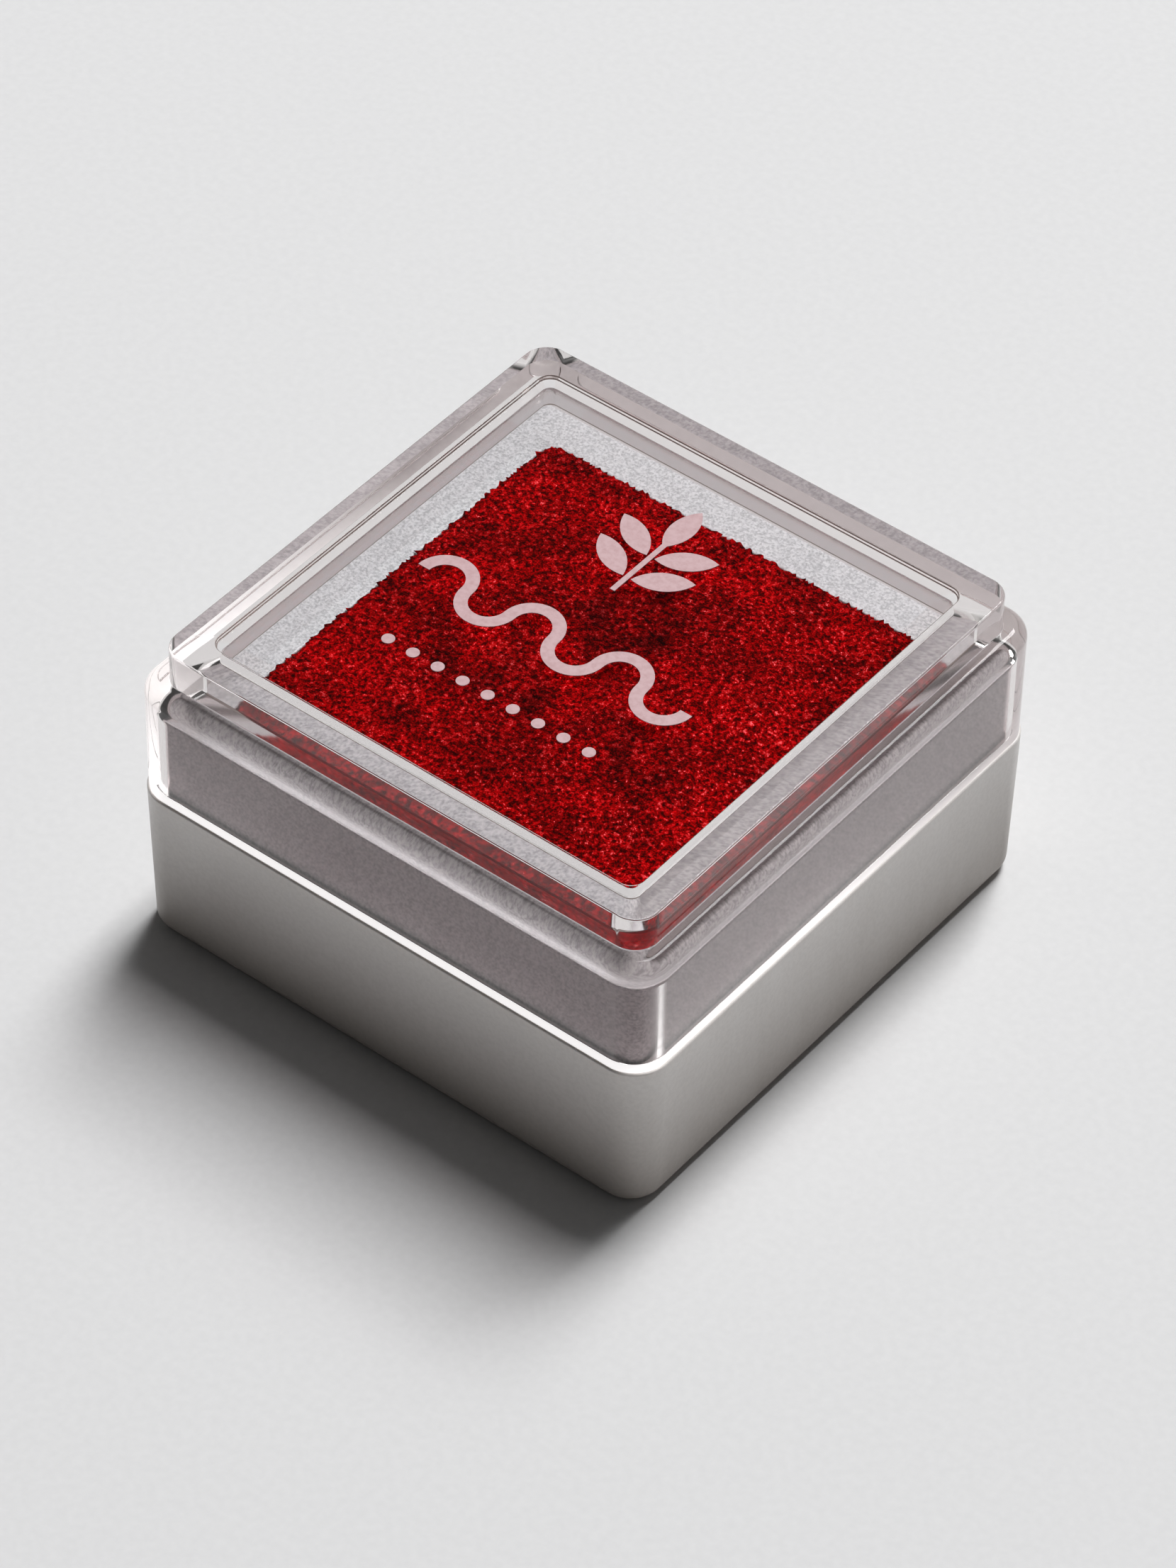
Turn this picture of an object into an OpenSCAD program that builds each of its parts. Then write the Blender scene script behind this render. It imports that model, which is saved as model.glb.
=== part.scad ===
// Small square ink pad for stamping: a white base, a raised woven pad full of ink, and a clear
// stepped lid that lifts straight off. Sizes are millimetres. The origin is the middle of the
// base's underside, +Z is up, and the print on the lid reads along +X.

/* [Base] */
// Width of the square base, measured at its rim
base_width = 33; // [28:0.5:48]
// Height of the rim that the lid stands on
rim_height = 9.7; // [8:0.1:16]
// Thickness of the base's closed floor
floor_thickness = 1.5; // [1:0.1:2.5]
// How much each side of the base draws in from the rim down to the bottom
base_draft = 0.21; // [0.05:0.01:0.4]
// Radius of the base's upright corners
corner_radius = 2.1; // [1.9:0.1:3.5]
// Radius of the rounding round the base's bottom edge
bottom_rounding = 0.8; // [0.3:0.1:1]

/* [Platform] */
// Height of the platform's top above the rim
platform_rise = 5.2; // [3:0.1:6]
// Play between the platform and the inside of the base, on each side
platform_fit = 0.1; // [0.05:0.01:0.15]
// Thickness of the platform's skirt
skirt_wall = 1.3; // [0.8:0.1:1.8]
// How far the skirt reaches down inside the base
skirt_depth = 4; // [2:0.1:6]
// Width of each corner leg below the skirt
leg_width = 6; // [3:0.1:8]
// Depth of the square well that the pad is glued into
well_depth = 2.4; // [1.5:0.1:3]
// Thickness of the floor of that well
well_floor = 1.2; // [0.8:0.1:1.6]
// Thickness of the two crossed ribs under the well
rib_wall = 1; // [0.6:0.1:1.6]
// Depth of those ribs
rib_depth = 2.5; // [1:0.1:3]

/* [Pad] */
// Width of the white border between the pad and the platform's edge
border_width = 2.6; // [2:0.1:4]
// Play between the pad and the sides of its well
pad_play = 0.15; // [0.1:0.05:0.3]
// How far the pad stands above the platform
pad_rise = 0.5; // [0.4:0.05:1.2]
// Thickness of the woven cover
cover_thickness = 0.4; // [0.2:0.05:0.6]
// Gap between the foam's sides and the cover
foam_gap = 0.05; // [0.02:0.01:0.1]
// Thickness of the glue sheet under the pad
glue_thickness = 0.15; // [0.1:0.05:0.3]
// Radius of the pad's upright corners
pad_corner = 0.7; // [0.5:0.1:1.5]

/* [Lid] */
// Height of the lid, from the rim that it stands on to its top
lid_height = 9.4; // [8.5:0.1:14]
// Thickness of the lid's skirt
lid_wall = 1.2; // [0.9:0.05:1.6]
// Thickness of the thick ring inside the lid's step
step_wall = 2.1; // [1.5:0.1:2.5]
// Thickness of the lid's top plate under its sunk panel
lid_plate = 0.8; // [0.6:0.05:1.4]
// How far each side of the lid stands in from the side of the base
lid_setback = 0.1; // [0.05:0.05:0.3]
// Play between the lid's inside and the platform, on each side
lid_play = 0.3; // [0.15:0.05:0.5]
// Gap between the platform's top and the foot of the slope inside the lid
slope_gap = 0.1; // [0.1:0.05:0.5]
// Height of the small step that the lid's top makes
step_height = 2.1; // [1.5:0.1:3]
// How far the step stands in from the lid's sides
step_inset = 1.1; // [0.9:0.1:2]
// Radius of the step's upright corners
step_corner = 1.4; // [1:0.1:2]
// Radius of the rounding round the lid's shoulder
shoulder_rounding = 0.8; // [0.3:0.1:0.9]
// Radius of the rounding round the lid's top edge
top_rounding = 0.12; // [0.08:0.01:0.4]
// Width of the raised border round the sunk panel
panel_border = 1.85; // [1.6:0.05:3.5]
// Depth of the sunk panel in the lid's top
panel_depth = 0.22; // [0.15:0.01:0.4]
// Radius of the sunk panel's corners
panel_corner = 0.8; // [0.5:0.1:1.5]

/* [Print] */
// Thickness of the ink printed on the lid's sunk panel
print_thickness = 0.04; // [0.02:0.01:0.1]
// Width of the printed wave's stroke
wave_stroke = 0.72; // [0.4:0.02:1]
// Radius of each half turn of the wave, along the middle of its stroke
wave_radius = 1.4; // [1:0.1:1.6]
// Number of half turns in the wave
wave_turns = 6; // [4:1:8]
// Length of the leaves of the printed sprig
leaf_length = 3.3; // [2:0.1:3.5]
// Diameter of the small printed dots
dot_width = 0.7; // [0.3:0.05:1]
// Number of dots in the printed row
dot_count = 9; // [5:1:13]

/* [Label] */
// Width of the square colour label under the base
label_width = 22; // [14:0.5:24]
// Thickness of the label
label_thickness = 0.12; // [0.08:0.01:0.2]
// Depth of the label's recess in the underside
label_recess = 0.18; // [0.16:0.01:0.3]
// Play between the label and the edges of its recess
label_play = 0.25; // [0.1:0.05:0.5]
// Radius of the label's corners
label_corner = 1.2; // [0.5:0.1:3]

/* [Hidden] */
$fn = 48;
edge_steps = 5;          // facets in the quarter round of an edge
rim_band = 0.3;          // height of the upright band just under the base's rim
slope_share = 0.6;       // the slope's share of the height from its foot to the cavity's top
slope_overrun = 0.3;     // how far the slope's cutting shape runs on past the ring's inner wall
skirt_easing = 0.2;      // extra radius in the skirt's inner corners
cavity_easing = 0.5;     // extra radius in the cavity's corners
cut = 1;                 // how far a cutting shape runs past the face it opens

base_half = base_width / 2;
lid_half = base_half - lid_setback;
lid_inner_half = lid_half - lid_wall;
platform_half = lid_inner_half - lid_play;
tub_inner_half = platform_half + platform_fit;
tub_inner_corner = max(corner_radius - (base_half - tub_inner_half), platform_fit + 0.3);
platform_corner = tub_inner_corner - platform_fit;

platform_top = rim_height + platform_rise;
well_bottom = platform_top - well_depth;
plate_underside = well_bottom - well_floor;
skirt_bottom = rim_height - skirt_depth;
platform_inner_half = platform_half - skirt_wall;

pad_half = platform_half - border_width;
pad_bottom = well_bottom + glue_thickness;
pad_top = platform_top + pad_rise;
cover_inner_half = pad_half - cover_thickness;
foam_top = pad_top - cover_thickness;
foam_half = cover_inner_half - foam_gap;

lid_top = rim_height + lid_height;
shoulder_height = lid_top - step_height;
step_half = lid_half - step_inset;
lid_corner = corner_radius - lid_setback;
cavity_half = step_half - step_wall;
cavity_top = lid_top - panel_depth - lid_plate;
slope_bottom = platform_top + slope_gap;
slope_top = slope_bottom + slope_share * (cavity_top - slope_bottom);
skirt_corner = max(lid_corner - lid_wall, 0) + skirt_easing;
cavity_corner = max(step_corner - step_wall, 0) + cavity_easing;
panel_half = step_half - panel_border;
panel_floor = lid_top - panel_depth;

label_half = label_width / 2;

// A square with rounded corners, from its half width
module round_square(half, radius) {
  square([2 * half, 2 * (half - radius)], center = true);
  square([2 * (half - radius), 2 * half], center = true);
  for (x = [-1, 1], y = [-1, 1])
    translate([x * (half - radius), y * (half - radius)]) circle(radius);
}

// A square plate with rounded upright corners, standing on z = bottom
module plate(half, radius, bottom, top) {
  translate([0, 0, bottom]) linear_extrude(top - bottom) round_square(half, radius);
}

// A square block whose bottom edge is rounded, and whose sides lean out by flare as they rise to an
// upright band under its top
module block_round_below(half, radius, bottom, top, rounding, flare) {
  hull() {
    plate(half, radius, top - rim_band, top);
    for (step = [0 : edge_steps]) {
      turn = 90 * step / edge_steps;
      inset = flare + rounding * (1 - sin(turn));
      plate(half - inset, radius - inset, bottom + rounding * (1 - cos(turn)), top);
    }
  }
}

// A square block whose top edge is rounded
module block_round_above(half, radius, bottom, top, rounding) {
  hull() for (step = [0 : edge_steps]) {
    turn = 90 * step / edge_steps;
    inset = rounding * (1 - sin(turn));
    plate(half - inset, radius - inset, bottom, top - rounding * (1 - cos(turn)));
  }
}

// The white base: a tub with a closed floor. The lid stands on its rim.
module base_tub() {
  color("white") difference() {
    block_round_below(base_half, corner_radius, 0, rim_height, bottom_rounding, base_draft);
    plate(tub_inner_half, tub_inner_corner, floor_thickness, rim_height + cut);
    plate(label_half + label_play, label_corner + label_play, -cut, label_recess);
  }
}

// The raised platform: a plate with a well for the pad, a skirt inside the base's walls, and four
// corner legs that stand on the base's floor
module pad_platform() {
  leg_gap_half = platform_half - leg_width;
  color("whitesmoke") {
    difference() {
      plate(platform_half, platform_corner, floor_thickness, platform_top);
      plate(pad_half + pad_play, pad_corner + pad_play, well_bottom, platform_top + cut);
      plate(platform_inner_half, pad_corner, floor_thickness - cut, plate_underside);
      for (turn = [0, 90]) rotate(turn)
        translate([-leg_gap_half, -base_half, floor_thickness - cut])
          cube([2 * leg_gap_half, base_width, skirt_bottom - floor_thickness + cut]);
    }
    for (turn = [0, 90]) rotate(turn)
      translate([-platform_inner_half - skirt_wall / 2, -rib_wall / 2, plate_underside - rib_depth])
        cube([2 * platform_inner_half + skirt_wall, rib_wall, rib_depth + well_floor / 2]);
  }
}

// The double-sided glue sheet that holds the pad in its well
module glue_sheet() {
  color("wheat") plate(pad_half, pad_corner, well_bottom, pad_bottom);
}

// The foam block that holds the ink
module ink_foam() {
  color("firebrick") plate(foam_half, pad_corner, pad_bottom, foam_top);
}

// The woven cover over the foam's top and sides
module pad_cover() {
  color("crimson") difference() {
    plate(pad_half, pad_corner, pad_bottom, pad_top);
    plate(cover_inner_half, pad_corner, pad_bottom - cut, foam_top);
  }
}

// The clear lid: a skirt that stands on the base's rim, and a stepped top with a sunk panel. Inside,
// the walls slope in over the platform's border to a thick ring that stands clear of the pad.
module clear_lid() {
  slope_run = lid_inner_half - cavity_half;
  overrun_top = slope_top + slope_overrun * (slope_top - slope_bottom) / slope_run;
  color([0.86, 0.9, 0.93, 0.4]) difference() {
    union() {
      block_round_above(lid_half, lid_corner, rim_height, shoulder_height, shoulder_rounding);
      block_round_above(step_half, step_corner, slope_bottom, lid_top, top_rounding);
    }
    hull() {
      plate(lid_inner_half, skirt_corner, rim_height - cut, slope_bottom);
      plate(cavity_half - slope_overrun, cavity_corner, rim_height - cut, overrun_top);
    }
    plate(cavity_half, cavity_corner, rim_height, cavity_top);
    plate(panel_half, panel_corner, panel_floor, lid_top + cut);
  }
}

// A leaf that grows along +Y from the origin: what two circles share
module leaf(length) {
  leaf_width = 0.42 * length;
  bow = (length * length + leaf_width * leaf_width) / (4 * leaf_width);
  translate([0, length / 2]) intersection() {
    translate([bow - leaf_width / 2, 0]) circle(bow, $fn = 96);
    translate([leaf_width / 2 - bow, 0]) circle(bow, $fn = 96);
  }
}

// The printed sprig: a straight stem, leaves in pairs and one leaf at the tip
module sprig() {
  stem_width = 0.3;
  stem_length = 1.25 * leaf_length;
  translate([-stem_width / 2, 0]) square([stem_width, stem_length + stem_width]);
  translate([0, stem_length]) leaf(leaf_length);
  for (pair = [0.25, 0.72], side = [-1, 1])
    translate([0, pair * stem_length]) rotate(side * 58) translate([0, stem_width]) leaf(leaf_length);
}

// Half of a ring, above the X axis for side = 1 and below it for side = -1
module half_ring(radius, stroke, side) {
  difference() {
    circle(radius + stroke / 2);
    circle(radius - stroke / 2);
    translate([-2 * radius, side > 0 ? -2 * radius : 0]) square([4 * radius, 2 * radius]);
  }
}

// The print on the lid: a sprig, a wave and a row of dots, on the sunk panel
module lid_print() {
  print_x = -0.6;        // the print sits a little to the left of the middle
  sprig_y = 2.6;
  wave_y = -2.1;
  dots_y = -7.3;
  dot_pitch = 1.6;
  wave_start = print_x - wave_turns * wave_radius;
  color("mistyrose") translate([0, 0, panel_floor]) linear_extrude(print_thickness) {
    translate([print_x, sprig_y]) sprig();
    for (turn = [0 : wave_turns - 1])
      translate([wave_start + (2 * turn + 1) * wave_radius, wave_y])
        half_ring(wave_radius, wave_stroke, turn % 2 == 0 ? 1 : -1);
    for (place = [0 : dot_count - 1])
      translate([print_x + (place - (dot_count - 1) / 2) * dot_pitch, dots_y]) circle(dot_width / 2);
  }
}

// The colour label stuck in the recess under the base
module colour_label() {
  color("ivory") plate(label_half, label_corner, label_recess - label_thickness, label_recess);
}

base_tub();
pad_platform();
glue_sheet();
ink_foam();
pad_cover();
clear_lid();
lid_print();
colour_label();
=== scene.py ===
"""The looks of a small square ink pad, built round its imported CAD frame. Sizes are in millimetres and
turned into metres by MM. The print on the lid reads along +X, and +Z is up."""

import math
import random

import bmesh
import bpy
import numpy as np
from mathutils import Matrix, Vector


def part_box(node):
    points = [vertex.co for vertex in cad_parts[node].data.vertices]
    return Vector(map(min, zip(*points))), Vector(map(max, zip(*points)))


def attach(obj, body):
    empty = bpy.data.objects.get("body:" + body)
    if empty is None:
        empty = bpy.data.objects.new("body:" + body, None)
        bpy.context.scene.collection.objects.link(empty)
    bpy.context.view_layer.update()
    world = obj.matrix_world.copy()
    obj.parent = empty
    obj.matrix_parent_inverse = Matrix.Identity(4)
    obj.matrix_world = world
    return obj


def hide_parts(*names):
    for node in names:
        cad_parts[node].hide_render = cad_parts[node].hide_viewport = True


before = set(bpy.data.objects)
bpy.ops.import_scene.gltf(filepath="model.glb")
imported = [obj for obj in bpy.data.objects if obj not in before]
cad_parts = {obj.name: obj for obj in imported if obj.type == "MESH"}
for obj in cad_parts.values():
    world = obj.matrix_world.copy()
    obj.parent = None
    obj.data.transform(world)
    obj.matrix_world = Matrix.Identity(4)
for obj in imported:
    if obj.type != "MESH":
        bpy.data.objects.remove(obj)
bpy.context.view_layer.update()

MM = 0.001

# ---------------------------------------------------------------- sizes read from the frame


def half_width(node):
    """Half the width of a CAD node, in millimetres."""
    low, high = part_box(node)
    return (high.x - low.x) / 2 / MM


def heights(node):
    """The lowest and highest Z of a CAD node, in millimetres."""
    low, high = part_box(node)
    return low.z / MM, high.z / MM


BASE_HALF = half_width("base_tub")
BOTTOM, RIM = heights("base_tub")
LID_HALF = half_width("clear_lid")
LID_TOP = heights("clear_lid")[1]
PLATFORM_HALF = half_width("pad_platform")
FLOOR_TOP, PLATFORM_TOP = heights("pad_platform")
PAD_HALF = half_width("pad_cover")
PAD_BOTTOM, PAD_TOP = heights("pad_cover")
LABEL_HALF = half_width("colour_label")
LABEL_TOP = heights("colour_label")[1]
PANEL_FLOOR = heights("lid_print")[0]

# ---------------------------------------------------------------- sizes of the moulded shapes

BASE_CORNER = 2.1          # corner radius of the base at its rim
BASE_DRAFT = 0.21          # how much narrower each side is at the bottom
BOTTOM_ROUNDING = 0.8
TUB_WALL_PLAY = 0.1        # between the platform and the tub's inside
LABEL_PLAY = 0.25
LABEL_CORNER = 1.2
LABEL_FRAME = 9.6          # half the width of the label's printed frame
LABEL_LINE = 0.35          # the width of its line
LABEL_SWATCH = 6.5         # half the width of the swatch inside it
LID_WALL = 1.2             # the skirt
STEP_WALL = 2.1            # the thick ring inside the step
LID_PLATE = 0.8
LID_CORNER = 2.0
SKIRT_CORNER = 1.0         # the skirt's corners on its inside
CAVITY_CORNER = 0.5        # the corners of the hollow over the pad
STEP_HEIGHT = 2.1
STEP_INSET = 1.1
STEP_CORNER = 1.4
SHOULDER_ROUNDING = 0.8
TOP_ROUNDING = 0.12
PANEL_BORDER = 1.85
PANEL_CORNER = 0.8
SLOPE_SHARE = 0.6          # the slope's share of the height from its foot to the cavity's top
SLOPE_GAP = 0.1            # between the platform's top and the foot of the slope inside the lid
FOOT_GAP = 0.03            # under the lid's foot, so that the two faces aren't drawn in one plane
PLATE_EDGE = 0.3           # from the cavity's wall in to where the plate's own material starts
PAD_CORNER = 0.7
CORNER_POINTS = 20         # points in each upright corner of a lofted shape
CRISP = 0.05               # the least rounding that a moulded edge has

# ---------------------------------------------------------------- light in the clear plastic

# a TINT is what a face leaves of the light that is seen through it
OUTSIDE_TINT = (0.91, 0.875, 0.865)
SHOULDER_PAINTED_SHADE = (0.7, 0.66, 0.64)  # over the whole depth of the skirt's wall; darker as painted shade that dims what is seen through the shoulder
SKIRT_PAINTED_SHADE = (0.72, 0.645, 0.65)   # the inside of the skirt; darker as painted shade on what is seen through it
RING_PAINTED_SHADE = (0.48, 0.43, 0.435)    # the inside of the thick ring and the slope below it; darker as painted shade on what is seen through them
EDGE_PAINTED_DARK = (0.1, 0.07, 0.06)      # painted dark: the crisp edges are tinted nearly black, standing in for the dark room that they turn towards
PLATE_TINT = (0.95, 0.95, 0.955)   # the thin plate over the pad
# a PASS is the share of the lamp's light that a face lets through to matt surfaces
OUTSIDE_PASS = (0.93, 0.92, 0.92)
SKIRT_PASS = (0.6, 0.53, 0.54)
RING_PASS = (0.74, 0.72, 0.73)
PLATE_PASS = (0.93, 0.93, 0.94)
# and the part of that share which is left where the light meets the face at a flat angle
SKIRT_GRAZING = 0.5
RING_GRAZING = 0.1
GRAZING_FROM, GRAZING_FULL = 0.45, 0.7  # that angle, as Layer Weight's Facing
SKIRT_HAZE = 0.16                  # the least roughness of the faces that the mould's core made
RING_HAZE = 0.1
CLEAR_IOR = 1.58
FOOT_GLOW = 0.95                   # the light that the clear walls lead down to the lid's foot
GLOW_DIRECTION = (0.35, -1, 0)     # mostly away from the lamp, and turned towards +X to fit the photo
GLOW_FROM, GLOW_FULL = -12, 8      # where the glow begins and is full, in millimetres along that

# ---------------------------------------------------------------- mesh helpers


def ring(half, core, z):
    """Points of a square with rounded corners at height z. core is where the corner arcs' centres
    stand, so half - core is their radius."""
    points = []
    for corner in range(4):
        turn = corner * math.pi / 2
        cx = core * math.copysign(1, math.cos(turn + math.pi / 4))
        cy = core * math.copysign(1, math.sin(turn + math.pi / 4))
        for step in range(CORNER_POINTS + 1):
            angle = turn + step / CORNER_POINTS * math.pi / 2
            points.append((cx + (half - core) * math.cos(angle), cy + (half - core) * math.sin(angle), z))
    return points


def profile(corners, steps=6):
    """Rows for loft() along corners of (half, core, z, reach). Each corner is rounded with an arc that
    begins that reach away from it. The first and the last are plain ends."""
    rows = [corners[0][:3]]
    for before, corner, after in zip(corners, corners[1:], corners[2:]):
        half, core, z, reach = corner
        here = Vector((half, z))
        back = (Vector((before[0], before[2])) - here).normalized()
        on = (Vector((after[0], after[2])) - here).normalized()
        weight = math.sin(back.angle(on) / 2)
        for step in range(steps + 1):
            t = step / steps
            shares = ((1 - t) ** 2, 2 * t * (1 - t) * weight, t ** 2)
            point = shares[0] * (here + back * reach) + shares[1] * here + shares[2] * (here + on * reach)
            point /= sum(shares)
            rows.append((point.x, core, point.y))
    return rows + [corners[-1][:3]]


def link(name, mesh):
    piece = bpy.data.objects.new(name, mesh)
    bpy.context.scene.collection.objects.link(piece)
    return piece


def loft(name, rows, bodyname, replaced):
    """A closed solid through rows of (half, core, z), with a flat cap at each end."""
    bm = bmesh.new()
    loops = [[bm.verts.new(Vector(p) * MM) for p in ring(*row)] for row in rows]
    count = len(loops[0])
    for low, high in zip(loops, loops[1:]):
        for i in range(count):
            bm.faces.new((low[i], low[(i + 1) % count], high[(i + 1) % count], high[i]))
    bm.faces.new(list(reversed(loops[0])))
    bm.faces.new(loops[-1])
    bmesh.ops.recalc_face_normals(bm, faces=bm.faces)
    mesh = bpy.data.meshes.new(name)
    bm.to_mesh(mesh)
    bm.free()
    piece = link(name, mesh)
    smooth(piece)
    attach(piece, bodyname)
    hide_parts(replaced)
    return piece


def smooth(piece):
    """Smooth shading in which the big flat faces keep their own normals."""
    for face in piece.data.polygons:
        face.use_smooth = True
    weighted = piece.modifiers.new("flat_faces_first", "WEIGHTED_NORMAL")
    weighted.mode = "FACE_AREA"
    weighted.weight = 90
    weighted.keep_sharp = True


def softened(node, name, width):
    """A copy of a CAD node's mesh with its sharp edges rounded."""
    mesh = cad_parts[node].data.copy()
    mesh.name = name
    bm = bmesh.new()
    bm.from_mesh(mesh)
    bmesh.ops.remove_doubles(bm, verts=bm.verts, dist=0.002 * MM)
    bmesh.ops.dissolve_limit(bm, angle_limit=math.radians(0.5), verts=bm.verts, edges=bm.edges)
    bm.to_mesh(mesh)
    bm.free()
    mesh.materials.clear()
    piece = link(name, mesh)
    bevel = piece.modifiers.new("soft_edges", "BEVEL")
    bevel.width = width * MM
    bevel.segments = 3
    bevel.limit_method = "ANGLE"
    bevel.angle_limit = math.radians(40)
    smooth(piece)
    return piece


# ---------------------------------------------------------------- material helpers


def new_material(name):
    """A material with its node tree and its Principled shader."""
    material = bpy.data.materials.new(name)
    material.use_nodes = True
    tree = material.node_tree
    return material, tree, tree.nodes["Principled BSDF"]


def add(tree, kind, **values):
    """Adds a node. Values name its properties, or its input sockets by their labels with _ for spaces."""
    node = tree.nodes.new(kind)
    for key, value in values.items():
        if hasattr(node, key):
            setattr(node, key, value)
        else:
            node.inputs[key.replace("_", " ")].default_value = value
    return node


def noise(tree, size, detail=2.0, roughness=0.5, stretch=(1, 1, 1)):
    """Noise in object space. size is the width of its largest grains, in millimetres."""
    place = add(tree, "ShaderNodeTexCoord")
    mapping = add(tree, "ShaderNodeMapping")
    mapping.inputs["Scale"].default_value = Vector(stretch) * (1 / (size * MM))
    texture = add(tree, "ShaderNodeTexNoise", Scale=1.0, Detail=detail, Roughness=roughness)
    tree.links.new(place.outputs["Object"], mapping.inputs["Vector"])
    tree.links.new(mapping.outputs["Vector"], texture.inputs["Vector"])
    return texture.outputs["Fac"]


def ramp(tree, source, stops):
    """A colour ramp over source. stops are (place, colour)."""
    node = tree.nodes.new("ShaderNodeValToRGB")
    tree.links.new(source, node.inputs["Fac"])
    elements = node.color_ramp.elements
    while len(elements) < len(stops):
        elements.new(0.5)
    for element, (place, colour) in zip(elements, stops):
        element.position = place
        element.color = (*colour, 1) if len(colour) == 3 else colour
    return node.outputs["Color"]


def scaled(tree, source, low, high, start=0.0, end=1.0):
    """source from start to end, mapped to low to high."""
    node = tree.nodes.new("ShaderNodeMapRange")
    tree.links.new(source, node.inputs["Value"])
    for socket, value in zip(("From Min", "From Max", "To Min", "To Max"), (start, end, low, high)):
        node.inputs[socket].default_value = value
    return node.outputs["Result"]


def bump(tree, shader, source, height, strength=1.0):
    """Bump of a height in millimetres."""
    node = add(tree, "ShaderNodeBump", Strength=strength, Distance=height * MM)
    tree.links.new(source, node.inputs["Height"])
    tree.links.new(node.outputs["Normal"], shader.inputs["Normal"])


def dress(piece, material):
    piece.data.materials.clear()
    piece.data.materials.append(material)


# ---------------------------------------------------------------- materials


def white_plastic(name, colour, shade, foot, gloss, grain, fleck):
    """Moulded white plastic: flecks of shade in its colour, a fine spark-eroded grain and light scuffs. It
    is darkened by foot towards the table as painted shade, where less light comes through it from inside."""
    material, tree, shader = new_material(name)
    flecks = noise(tree, fleck, 2, 0.6)
    speckled = ramp(tree, flecks, [(0.34, shade), (0.62, colour)])
    place = add(tree, "ShaderNodeTexCoord")
    axes = add(tree, "ShaderNodeSeparateXYZ")
    tree.links.new(place.outputs["Object"], axes.inputs["Vector"])
    # painted shade: the colour is multiplied down towards foot near the bottom
    depth = scaled(tree, axes.outputs["Z"], 0, 1, 0.5 * MM, 9 * MM)
    mix = add(tree, "ShaderNodeMix", data_type="RGBA", blend_type="MULTIPLY")
    mix.inputs["Factor"].default_value = 1.0
    tree.links.new(speckled, mix.inputs[6])
    tree.links.new(ramp(tree, depth, [(0, foot), (1, (1, 1, 1))]), mix.inputs[7])
    tree.links.new(mix.outputs[2], shader.inputs["Base Color"])
    scuffs = noise(tree, 1.4, 4, 0.65, (1, 1, 0.25))
    tree.links.new(scaled(tree, scuffs, gloss - 0.08, gloss + 0.1, 0.35, 0.7), shader.inputs["Roughness"])
    bump(tree, shader, noise(tree, grain, 2), 0.004, 0.5)
    shader.inputs["Subsurface Weight"].default_value = 0.1
    shader.inputs["Subsurface Radius"].default_value = (0.9 * MM, 0.8 * MM, 0.7 * MM)
    shader.inputs["Subsurface Scale"].default_value = 1.0
    shader.inputs["IOR"].default_value = 1.5
    return material


def clear_plastic(name, colour, passed, grazing=1.0, haze=0.0):
    """Clear polystyrene, whose colour is darker on the faces of thick walls and on crisp edges; that
    darker colour is painted shade. Lamps, and light that comes off matt surfaces, reach what is behind it
    in the share that is passed. A face that the light meets at a flat angle passes only the share grazing
    of that, as a slope that reflects it totally. haze is the least roughness of the face, as the tool that
    moulded it left it."""
    material, tree, shader = new_material(name)
    shader.inputs["Base Color"].default_value = (*colour, 1)
    shader.inputs["Transmission Weight"].default_value = 1.0
    shader.inputs["Specular Tint"].default_value = (0.2, 0.2, 0.2, 1)
    shader.inputs["IOR"].default_value = CLEAR_IOR
    wear = noise(tree, 3.0, 5, 0.6)
    tree.links.new(scaled(tree, wear, haze, haze + 0.02, 0.5, 0.75), shader.inputs["Roughness"])
    bump(tree, shader, noise(tree, 12.0, 1), 0.004, 0.2)
    through = add(tree, "ShaderNodeBsdfTransparent", Color=(*passed, 1))
    if grazing < 1:
        weight = add(tree, "ShaderNodeLayerWeight", Blend=0.5)
        flat = tuple(share * grazing for share in passed)
        by_angle = ramp(tree, weight.outputs["Facing"], [(GRAZING_FROM, passed), (GRAZING_FULL, flat)])
        tree.links.new(by_angle, through.inputs["Color"])
    path = add(tree, "ShaderNodeLightPath")
    surface = shader.outputs["BSDF"]
    for ray in ("Is Diffuse Ray", "Is Shadow Ray"):
        mix = add(tree, "ShaderNodeMixShader")
        tree.links.new(path.outputs[ray], mix.inputs["Fac"])
        tree.links.new(surface, mix.inputs[1])
        tree.links.new(through.outputs["BSDF"], mix.inputs[2])
        surface = mix.outputs["Shader"]
    tree.links.new(surface, tree.nodes["Material Output"].inputs["Surface"])
    return material


def frosted_rim_painted_glow():
    """The lid's moulded foot: a fine matte face with a glow that stands in for the light led down the
    walls. The glow is fixed to the lid. It is full at the front, and the back foot has little of it."""
    material, tree, shader = new_material("frosted_rim_painted_glow")
    grain = noise(tree, 0.4, 3)
    tree.links.new(ramp(tree, grain, [(0.3, (0.36, 0.33, 0.33)), (0.7, (0.42, 0.39, 0.39))]),
                   shader.inputs["Base Color"])
    tree.links.new(scaled(tree, grain, 0.55, 0.8), shader.inputs["Roughness"])
    bump(tree, shader, noise(tree, 0.15, 2), 0.01, 0.4)
    # painted glow: emission that is full at the front of the foot and faint at its back
    place = add(tree, "ShaderNodeTexCoord")
    along = add(tree, "ShaderNodeVectorMath", operation="DOT_PRODUCT")
    along.inputs[1].default_value = GLOW_DIRECTION
    tree.links.new(place.outputs["Object"], along.inputs[0])
    glow = scaled(tree, along.outputs["Value"], 0, 1, GLOW_FROM * MM, GLOW_FULL * MM)
    tree.links.new(ramp(tree, glow, [(0, (0.06, 0.05, 0.05)), (1, (1, 1, 1))]),
                   shader.inputs["Emission Color"])
    shader.inputs["Emission Strength"].default_value = FOOT_GLOW
    return material


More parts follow.
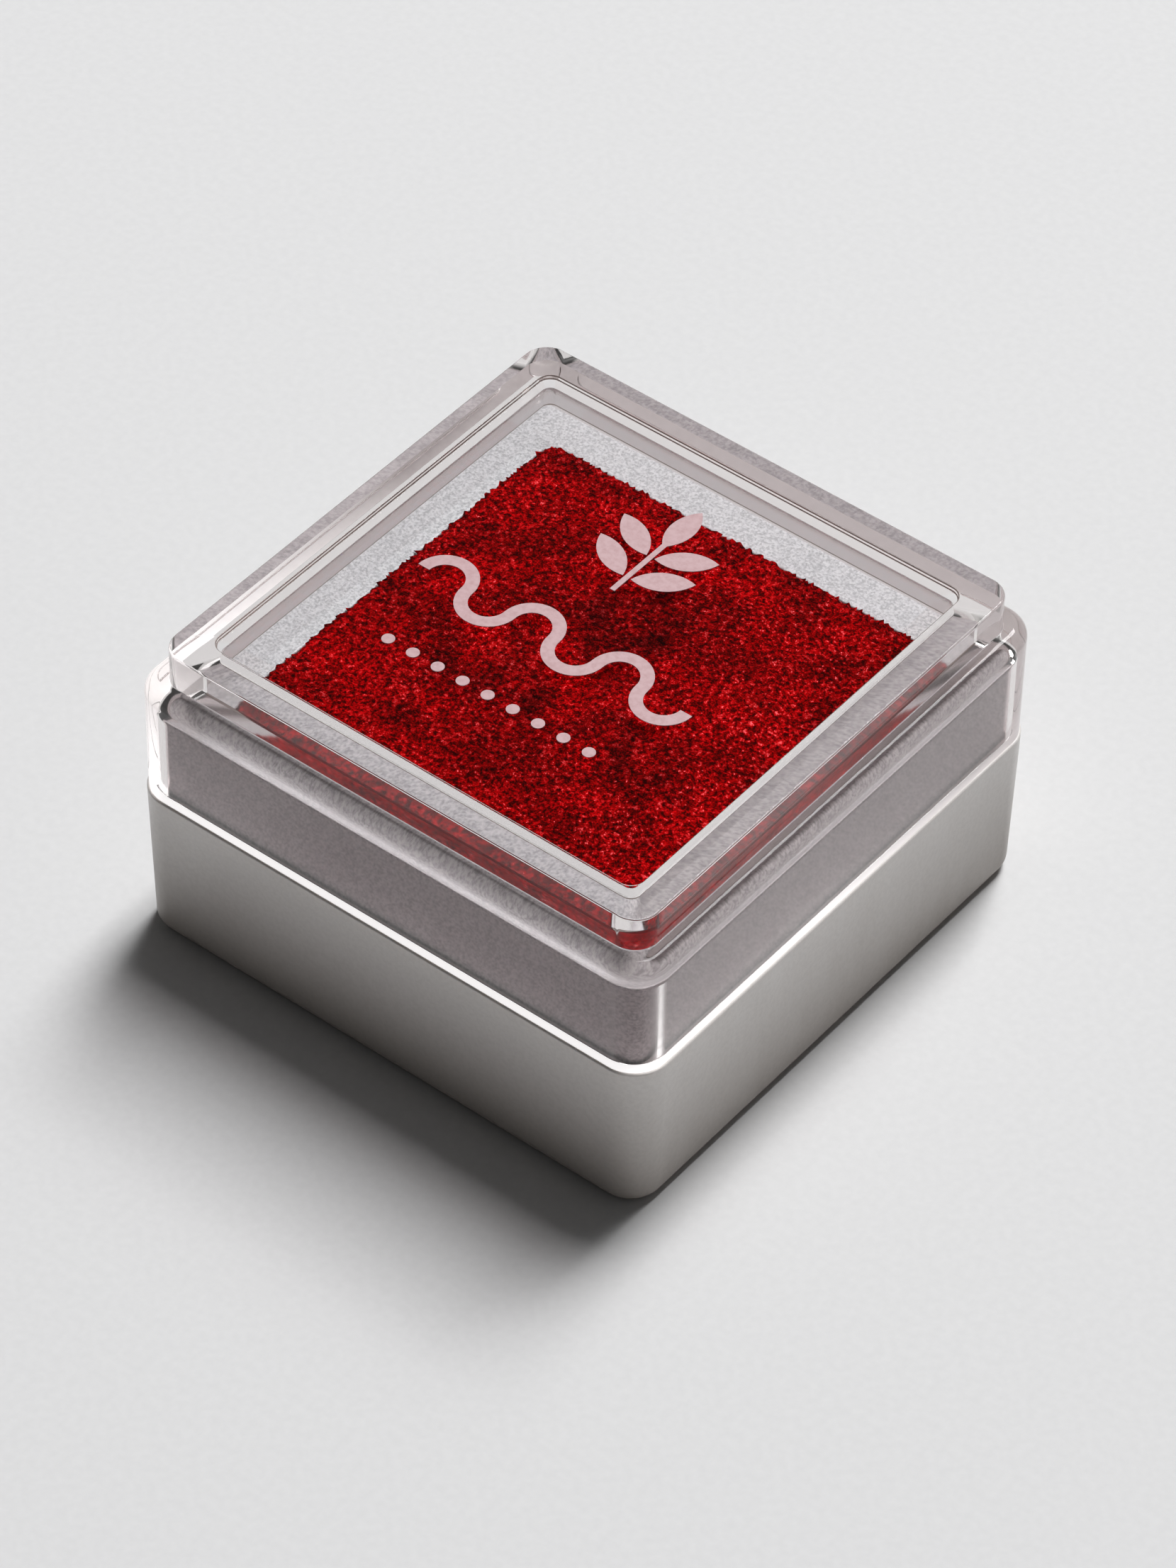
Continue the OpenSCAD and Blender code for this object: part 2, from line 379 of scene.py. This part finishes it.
def woven_ink():
    """The pad's wet woven cover: deep red threads, dark pores, patchy wetness and small glints."""
    material, tree, shader = new_material("ink_weave")
    thread = noise(tree, 0.22, 3, 0.7)
    patch = noise(tree, 3.0, 2)
    pore, ink, bright = (0.05, 0.0, 0.0), (0.3, 0.0, 0.0003), (0.85, 0.0006, 0.003)
    colour = ramp(tree, thread, [(0.39, pore), (0.5, ink), (0.62, bright)])
    shade = ramp(tree, patch, [(0.38, (0.6, 0.6, 0.6)), (0.6, (1, 1, 1))])
    mix = add(tree, "ShaderNodeMix", data_type="RGBA", blend_type="MULTIPLY")
    mix.inputs["Factor"].default_value = 1.0
    tree.links.new(colour, mix.inputs[6])
    tree.links.new(shade, mix.inputs[7])
    tree.links.new(mix.outputs[2], shader.inputs["Base Color"])
    tree.links.new(scaled(tree, noise(tree, 0.3, 2), 0.14, 0.3, 0.35, 0.65), shader.inputs["Roughness"])
    tree.links.new(scaled(tree, thread, 0.0, 1.0, 0.6, 0.68), shader.inputs["Specular IOR Level"])
    shader.inputs["Specular Tint"].default_value = (1, 0.2, 0.23, 1)
    bump(tree, shader, noise(tree, 0.2, 3, 0.7), 0.08, 0.9)
    return material


def foam():
    """Foam soaked with ink: open cells, with painted shade that darkens their hollows."""
    material, tree, shader = new_material("ink_foam_cells")
    cells = add(tree, "ShaderNodeTexVoronoi", Scale=1.0)
    place = add(tree, "ShaderNodeTexCoord")
    mapping = add(tree, "ShaderNodeMapping")
    mapping.inputs["Scale"].default_value = Vector((1, 1, 1)) / (0.35 * MM)
    tree.links.new(place.outputs["Object"], mapping.inputs["Vector"])
    tree.links.new(mapping.outputs["Vector"], cells.inputs["Vector"])
    distance = cells.outputs["Distance"]
    # painted shade: darker towards each cell's centre, where the bump sinks its hollow
    tree.links.new(ramp(tree, distance, [(0.1, (0.08, 0.001, 0.002)), (0.6, (0.36, 0.006, 0.01))]),
                   shader.inputs["Base Color"])
    tree.links.new(scaled(tree, distance, 0.5, 0.8), shader.inputs["Roughness"])
    bump(tree, shader, distance, 0.15, 0.8)
    return material


def glue_film():
    """Tacky acrylic film with small trapped bubbles."""
    material, tree, shader = new_material("glue_film")
    blotch = noise(tree, 1.2, 3)
    tree.links.new(ramp(tree, blotch, [(0.35, (0.62, 0.5, 0.33)), (0.7, (0.78, 0.7, 0.55))]),
                   shader.inputs["Base Color"])
    tree.links.new(scaled(tree, blotch, 0.2, 0.5), shader.inputs["Roughness"])
    bump(tree, shader, noise(tree, 0.5, 2), 0.02, 0.5)
    return material


def print_ink():
    """Pale pad-printed ink, with a soft unevenness where it dried thinner."""
    material, tree, shader = new_material("pale_print")
    mottle = noise(tree, 0.35, 3, 0.6)
    tree.links.new(ramp(tree, mottle, [(0.3, (0.52, 0.32, 0.33)), (0.6, (0.6, 0.4, 0.415))]),
                   shader.inputs["Base Color"])
    tree.links.new(scaled(tree, mottle, 0.35, 0.55), shader.inputs["Roughness"])
    bump(tree, shader, noise(tree, 0.2, 2), 0.01, 0.4)
    return material


def label_paper():
    """A coated paper label with a plain swatch of the ink's colour inside a thin border."""
    material, tree, shader = new_material("label_print")
    place = add(tree, "ShaderNodeTexCoord")
    axes = add(tree, "ShaderNodeSeparateXYZ")
    tree.links.new(place.outputs["Object"], axes.inputs["Vector"])

    def inside(half):
        """1 inside a square of that half width on the label, 0 outside."""
        sides = []
        for socket in ("X", "Y"):
            size = add(tree, "ShaderNodeMath", operation="ABSOLUTE")
            less = add(tree, "ShaderNodeMath", operation="LESS_THAN")
            less.inputs[1].default_value = half * MM
            tree.links.new(axes.outputs[socket], size.inputs[0])
            tree.links.new(size.outputs[0], less.inputs[0])
            sides.append(less.outputs[0])
        both = add(tree, "ShaderNodeMath", operation="MULTIPLY")
        tree.links.new(sides[0], both.inputs[0])
        tree.links.new(sides[1], both.inputs[1])
        return both.outputs[0]

    def over(under, colour, mask):
        mix = add(tree, "ShaderNodeMix", data_type="RGBA")
        mix.inputs[7].default_value = (*colour, 1)
        tree.links.new(mask, mix.inputs["Factor"])
        tree.links.new(under, mix.inputs[6])
        return mix.outputs[2]

    fibres = noise(tree, 0.5, 4, 0.6)
    paper = ramp(tree, fibres, [(0.3, (0.72, 0.71, 0.67)), (0.7, (0.83, 0.82, 0.79))])
    ink = (0.56, 0.012, 0.018)
    framed = over(paper, ink, inside(LABEL_FRAME))
    bordered = over(framed, (0.8, 0.79, 0.76), inside(LABEL_FRAME - LABEL_LINE))
    swatch = over(bordered, ink, inside(LABEL_SWATCH))
    tree.links.new(swatch, shader.inputs["Base Color"])
    tree.links.new(scaled(tree, fibres, 0.35, 0.55), shader.inputs["Roughness"])
    bump(tree, shader, noise(tree, 0.25, 3), 0.01, 0.4)
    return material


def floor_surface():
    """A plain pale floor with a barely visible grain."""
    material, tree, shader = new_material("pale_floor")
    grain = noise(tree, 0.5, 3)
    tree.links.new(ramp(tree, grain, [(0.3, (0.735, 0.735, 0.74)), (0.7, (0.765, 0.765, 0.77))]),
                   shader.inputs["Base Color"])
    shader.inputs["Roughness"].default_value = 0.8
    shader.inputs["Specular IOR Level"].default_value = 0.2
    return material


# ---------------------------------------------------------------- the base and its platform


def build_base():
    """The white tub, lofted from the label's recess round the outside and down into its hollow."""
    core = BASE_HALF - BASE_CORNER
    recess_half, recess_core = LABEL_HALF + LABEL_PLAY, LABEL_HALF - LABEL_CORNER
    inner_half = PLATFORM_HALF + TUB_WALL_PLAY
    inner_core = inner_half - (BASE_CORNER - (BASE_HALF - inner_half))
    rows = profile([
        (recess_half - 1, recess_core, LABEL_TOP),
        (recess_half, recess_core, LABEL_TOP, CRISP),
        (recess_half, recess_core, BOTTOM, CRISP),
        (BASE_HALF - BASE_DRAFT, core, BOTTOM, BOTTOM_ROUNDING),
        (BASE_HALF, core, RIM, 2 * CRISP),
        (inner_half, inner_core, RIM, CRISP),
        (inner_half, inner_core, FLOOR_TOP, 4 * CRISP),
        (inner_half - 1, inner_core - 0.8, FLOOR_TOP)])
    piece = loft("base_shell", rows, "base", "base_tub")
    # foot is the painted shade at the bottom of the base
    plastic = white_plastic("white_base_plastic", colour=(0.78, 0.745, 0.72), shade=(0.73, 0.695, 0.67),
                            foot=(0.46, 0.435, 0.41), gloss=0.38, grain=0.25, fleck=0.25)
    dress(piece, plastic)


def build_platform():
    piece = softened("pad_platform", "platform", 0.1)
    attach(piece, "base")
    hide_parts("pad_platform")
    plastic = white_plastic("white_platform_plastic", colour=(0.98, 0.99, 1.0), shade=(0.56, 0.57, 0.58),
                            foot=(1, 1, 1), gloss=0.5, grain=0.12, fleck=0.14)
    dress(piece, plastic)


# ---------------------------------------------------------------- the lid


def build_lid():
    """The clear lid, lofted from its sunk panel over the step and the shoulder, round the foot of the
    skirt, up the slope inside and into the cavity."""
    core = LID_HALF - LID_CORNER
    step_half = LID_HALF - STEP_INSET
    step_core = step_half - STEP_CORNER
    panel_half = step_half - PANEL_BORDER
    panel_core = panel_half - PANEL_CORNER
    shoulder = LID_TOP - STEP_HEIGHT
    inner_half = LID_HALF - LID_WALL
    inner_core = inner_half - SKIRT_CORNER
    cavity_half = step_half - STEP_WALL
    cavity_core = cavity_half - CAVITY_CORNER
    cavity_top = PANEL_FLOOR - LID_PLATE
    slope_bottom = PLATFORM_TOP + SLOPE_GAP
    slope_top = slope_bottom + SLOPE_SHARE * (cavity_top - slope_bottom)
    foot = RIM + FOOT_GAP
    corners = [
        (panel_half - 1, panel_core - 0.5, PANEL_FLOOR),
        (panel_half, panel_core, PANEL_FLOOR, CRISP),
        (panel_half, panel_core, LID_TOP, CRISP),
        (step_half, step_core, LID_TOP, TOP_ROUNDING),
        (step_half, step_core, shoulder, CRISP),
        (LID_HALF, core, shoulder, SHOULDER_ROUNDING),
        (LID_HALF, core, foot, CRISP),
        (inner_half, inner_core, foot, CRISP),
        (inner_half, inner_core, slope_bottom, 3 * CRISP),
        (cavity_half, cavity_core, slope_top, 2 * CRISP),
        (cavity_half, cavity_core, cavity_top, CRISP),
        (cavity_half - 1, cavity_core - 1, cavity_top)]
    steps = 8
    piece = loft("lid_shell", profile(corners, steps), "lid", "clear_lid")
    dress(piece, clear_plastic("clear_polystyrene", OUTSIDE_TINT, OUTSIDE_PASS))
    rim, skirt, ring_wall, edge, plate, over_skirt = range(1, 7)
    # the skirt, ring, edge and shoulder copies are darker as painted shade, and the rim carries a painted
    # glow
    for material in (
            frosted_rim_painted_glow(),
            clear_plastic("clear_polystyrene_skirt", SKIRT_PAINTED_SHADE, SKIRT_PASS, SKIRT_GRAZING, SKIRT_HAZE),
            clear_plastic("clear_polystyrene_ring", RING_PAINTED_SHADE, RING_PASS, RING_GRAZING, RING_HAZE),
            clear_plastic("clear_polystyrene_edges", EDGE_PAINTED_DARK, OUTSIDE_PASS),
            clear_plastic("clear_polystyrene_plate", PLATE_TINT, PLATE_PASS),
            clear_plastic("clear_polystyrene_shoulder", SHOULDER_PAINTED_SHADE, OUTSIDE_PASS)):
        piece.data.materials.append(material)
    for face in piece.data.polygons:
        if max(abs(face.center.x), abs(face.center.y)) < (cavity_half - PLATE_EDGE) * MM:
            face.material_index = plate
    # corner k of the list is rounded up to row k * per, and a straight strip of faces follows it
    per = steps + 1
    bands = [(1, per, edge), (per + 1, 2 * per, edge), (4 * per, 5 * per, over_skirt),
             (6 * per, 6 * per + 1, rim), (6 * per + 1, 8 * per, skirt), (8 * per, 8 * per + 1, ring_wall),
             (8 * per + 1, 9 * per, edge), (9 * per, 10 * per, ring_wall)]
    loop = 4 * (CORNER_POINTS + 1)
    for first, end, slot in bands:
        for face in piece.data.polygons[first * loop:end * loop]:
            face.material_index = slot


# ---------------------------------------------------------------- the pad


PAD_CELLS = 150            # cells across the cover's finished top
CLOTH_CELLS = 36           # cells across the simulated cloth
PAD_EDGE = 0.3             # how far the cover rounds over at its edge
SIM_SCALE = 20             # the cloth is simulated this many times larger, where the solver is steady
SIM_FRAMES = 20
SWELL = 0.12               # the furthest that the simulation may move the cover
WEAVE_HEIGHT = 0.028       # spread of the threads' heights over the top
WEAVE_SHIFT = 0.02         # and of their places
FRINGE = 0.13              # spread of how far the threads at the edge stick out
FRINGE_IN, FRINGE_OUT = -0.16, 0.3
SIDE_SHIFT = 0.04          # unevenness of the cover's sides


def cap(cells, levels):
    """A grid over the pad's top, whose edge runs down through levels, depths below the top. Gives the
    mesh in bmesh form and its lowest loop of edges. Its top vertices come first, row by row."""
    bm = bmesh.new()
    bmesh.ops.create_grid(bm, x_segments=cells, y_segments=cells, size=PAD_HALF)
    core = PAD_HALF - PAD_CORNER
    for v in bm.verts:
        dx, dy = abs(v.co.x) - core, abs(v.co.y) - core
        if dx > 0 and dy > 0:
            pull = max(dx, dy) / math.hypot(dx, dy)
            v.co.x = math.copysign(core + dx * pull, v.co.x)
            v.co.y = math.copysign(core + dy * pull, v.co.y)
    edge = [e for e in bm.edges if len(e.link_faces) == 1]
    for above, below in zip([0, *levels], levels):
        made = bmesh.ops.extrude_edge_only(bm, edges=edge)["geom"]
        for v in made:
            if isinstance(v, bmesh.types.BMVert):
                v.co.z -= below - above
        edge = [e for e in made if isinstance(e, bmesh.types.BMEdge) and len(e.link_faces) == 1]
    return bm, edge


def inset_of(x, y):
    """How far a point on the pad lies inside its outline."""
    core = PAD_HALF - PAD_CORNER
    dx, dy = abs(x) - core, abs(y) - core
    if dx > 0 and dy > 0:
        return PAD_CORNER - math.hypot(dx, dy)
    return PAD_CORNER - max(dx, dy)


def simulated_swell():
    """The rise of the cover's top at each point of a coarse grid, from a cloth simulation of the cover
    under a little pressure from the wet foam, held at the foot of its sides."""
    side = CLOTH_CELLS + 1
    height = PAD_TOP - PAD_BOTTOM
    bm, edge = cap(CLOTH_CELLS, [height / 3, height * 2 / 3, height])
    dice = random.Random(11)
    for v in bm.verts:
        if v.co.z > -0.01:
            v.co.z += dice.uniform(-0.03, 0.03)
        v.co *= SIM_SCALE * MM
    bm.verts.index_update()
    held = sorted({v.index for e in edge for v in e.verts})
    mesh = bpy.data.meshes.new("cover_cloth")
    bm.to_mesh(mesh)
    bm.free()
    cloth = link("cover_cloth", mesh)
    cloth.vertex_groups.new(name="held").add(held, 1.0, "REPLACE")
    start = np.empty(len(mesh.vertices) * 3)
    mesh.vertices.foreach_get("co", start)
    settings = cloth.modifiers.new("cloth", "CLOTH").settings
    settings.quality = 6
    settings.mass = 0.2
    settings.tension_stiffness = 20
    settings.compression_stiffness = 8
    settings.shear_stiffness = 6
    settings.bending_stiffness = 0.6
    settings.shrink_min = -0.03
    settings.vertex_group_mass = "held"
    settings.use_pressure = True
    settings.uniform_pressure_force = 0.8
    settings.effector_weights.gravity = 0
    scene = bpy.context.scene
    for frame_number in range(1, SIM_FRAMES + 1):
        scene.frame_set(frame_number)
    shape = cloth.evaluated_get(bpy.context.evaluated_depsgraph_get()).to_mesh()
    end = np.empty(len(shape.vertices) * 3)
    shape.vertices.foreach_get("co", end)
    scene.frame_set(1)
    bpy.data.objects.remove(cloth)
    rise = (end - start).reshape(-1, 3)[:side * side, 2] / (SIM_SCALE * MM)
    return np.clip(rise - np.median(rise), -SWELL, SWELL).reshape(side, side)


def sampled(grid, x, y):
    """A grid over the pad, read between its points."""
    last = len(grid) - 1
    u = min(max((x / PAD_HALF + 1) / 2 * last, 0), last - 1e-6)
    v = min(max((y / PAD_HALF + 1) / 2 * last, 0), last - 1e-6)
    i, j = int(v), int(u)
    s, t = v - i, u - j
    return ((1 - s) * ((1 - t) * grid[i][j] + t * grid[i][j + 1])
            + s * ((1 - t) * grid[i + 1][j] + t * grid[i + 1][j + 1]))


def build_pad():
    """The cover: the simulated swell, a rounded edge, a fine uneven weave and a ragged outline where the
    threads stick out over the platform."""
    swell = simulated_swell()
    dice = random.Random(5)
    height = PAD_TOP - PAD_BOTTOM
    proud = PAD_TOP - PLATFORM_TOP
    levels = [PAD_EDGE + 0.1, proud, proud + 0.4, height]
    bm, edge = cap(PAD_CELLS, levels)
    bmesh.ops.contextual_create(bm, geom=edge)
    bmesh.ops.recalc_face_normals(bm, faces=bm.faces)
    for v in bm.verts:
        x, y, depth = v.co.x, v.co.y, -v.co.z
        inset = inset_of(x, y)
        outward = Vector((x, y, 0)).normalized()
        if abs(abs(x) - abs(y)) > PAD_CORNER:
            along_x = abs(x) > abs(y)
            outward = Vector((math.copysign(1, x), 0, 0) if along_x else (0, math.copysign(1, y), 0))
        if depth < 0.01:
            away = max(PAD_EDGE - inset, 0)
            v.co.z = sampled(swell, x, y) - PAD_EDGE + math.sqrt(PAD_EDGE ** 2 - min(away, PAD_EDGE) ** 2)
            v.co.z += dice.gauss(0, WEAVE_HEIGHT)
            v.co.x += dice.gauss(0, WEAVE_SHIFT)
            v.co.y += dice.gauss(0, WEAVE_SHIFT)
        if depth < proud - 0.05 and inset < 0.25:
            tooth = max(dice.gauss(0.0, FRINGE), FRINGE_IN)
            v.co += outward * min(tooth, FRINGE_OUT)
        elif inset < 0.01:
            v.co += outward * dice.uniform(-SIDE_SHIFT, SIDE_SHIFT)
        v.co.z = min(v.co.z, SWELL)
        v.co = Vector((v.co.x, v.co.y, v.co.z + PAD_TOP)) * MM
    mesh = bpy.data.meshes.new("pad_weave")
    bm.to_mesh(mesh)
    bm.free()
    piece = link("pad_weave", mesh)
    for face in mesh.polygons:
        face.use_smooth = True
    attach(piece, "base")
    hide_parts("pad_cover")
    dress(piece, woven_ink())


# ---------------------------------------------------------------- floor, light and camera


def build_stage():
    bpy.ops.mesh.primitive_plane_add(size=4.0)
    floor = bpy.context.object
    floor.name = "floor"
    dress(floor, floor_surface())


LAMP_PLACE = Vector((-0.13, 1.1, 1.9))  # in metres
LAMP_AIM = Vector((0, 0, 0.01))
LAMP_SIZE = (0.68, 1.22)
LAMP_POWER = 55
ROOM_LIGHT = 0.05          # strength of the light from all round
BACKDROP_LIGHT = 0.6       # and of the backdrop at its brightest


def build_lamp():
    lamp = bpy.data.lights.new("key", "AREA")
    lamp.shape = "RECTANGLE"
    lamp.size, lamp.size_y = LAMP_SIZE
    lamp.energy = LAMP_POWER
    holder = bpy.data.objects.new("key", lamp)
    bpy.context.scene.collection.objects.link(holder)
    holder.location = LAMP_PLACE
    holder.rotation_mode = "QUATERNION"
    holder.rotation_quaternion = (LAMP_AIM - LAMP_PLACE).to_track_quat("-Z", "Y")


def build_room():
    """A dark room with a pale backdrop low down behind the object."""
    world = bpy.data.worlds.new("studio")
    world.use_nodes = True
    tree = world.node_tree
    place = add(tree, "ShaderNodeTexCoord")
    axes = add(tree, "ShaderNodeSeparateXYZ")
    tree.links.new(place.outputs["Generated"], axes.inputs["Vector"])
    backdrop = scaled(tree, axes.outputs["Y"], 0, 1, 0.0, 0.5)
    low = scaled(tree, axes.outputs["Z"], BACKDROP_LIGHT, 0, 0.12, 0.35)
    both = add(tree, "ShaderNodeMath", operation="MULTIPLY_ADD")
    both.inputs[2].default_value = ROOM_LIGHT
    tree.links.new(backdrop, both.inputs[0])
    tree.links.new(low, both.inputs[1])
    tree.links.new(both.outputs["Value"], tree.nodes["Background"].inputs["Strength"])
    tree.nodes["Background"].inputs["Color"].default_value = (1, 1, 1, 1)
    bpy.context.scene.world = world


def build_camera():
    """The viewing angle: azimuth 37.8 degrees round from the front, elevation 44.6, from 32 cm away."""
    azimuth, elevation, roll = math.radians(37.77), math.radians(44.6), math.radians(1.12)
    distance = 0.3204
    target = Vector((-0.5, 0.81, 6.6)) * MM
    back = Vector((math.sin(azimuth) * math.cos(elevation), -math.cos(azimuth) * math.cos(elevation),
                   math.sin(elevation)))
    data = bpy.data.cameras.new("camera")
    data.lens = 142.7
    data.sensor_width = 36
    data.clip_start, data.clip_end = 0.01, 20
    camera = bpy.data.objects.new("camera", data)
    bpy.context.scene.collection.objects.link(camera)
    camera.location = target + back * distance
    right = Vector((math.cos(azimuth), math.sin(azimuth), 0))
    up = back.cross(right)
    side = right * math.cos(roll) + up * math.sin(roll)
    top = up * math.cos(roll) - right * math.sin(roll)
    camera.rotation_mode = "QUATERNION"
    camera.rotation_quaternion = Matrix((side, top, back)).transposed().to_quaternion()
    bpy.context.scene.camera = camera


def set_look():
    scene = bpy.context.scene
    scene.view_settings.view_transform = "Standard"
    scene.cycles.use_denoising = True
    scene.cycles.max_bounces = 24
    scene.cycles.transmission_bounces = 20
    scene.cycles.glossy_bounces = 12
    scene.cycles.diffuse_bounces = 4
    scene.cycles.transparent_max_bounces = 24
    scene.cycles.caustics_reflective = False
    scene.cycles.caustics_refractive = False


build_camera()
build_stage()
build_room()
build_lamp()
set_look()
build_base()
build_platform()
build_pad()
build_lid()
dress(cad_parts["ink_foam"], foam())
dress(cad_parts["glue_sheet"], glue_film())
dress(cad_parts["lid_print"], print_ink())
dress(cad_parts["colour_label"], label_paper())
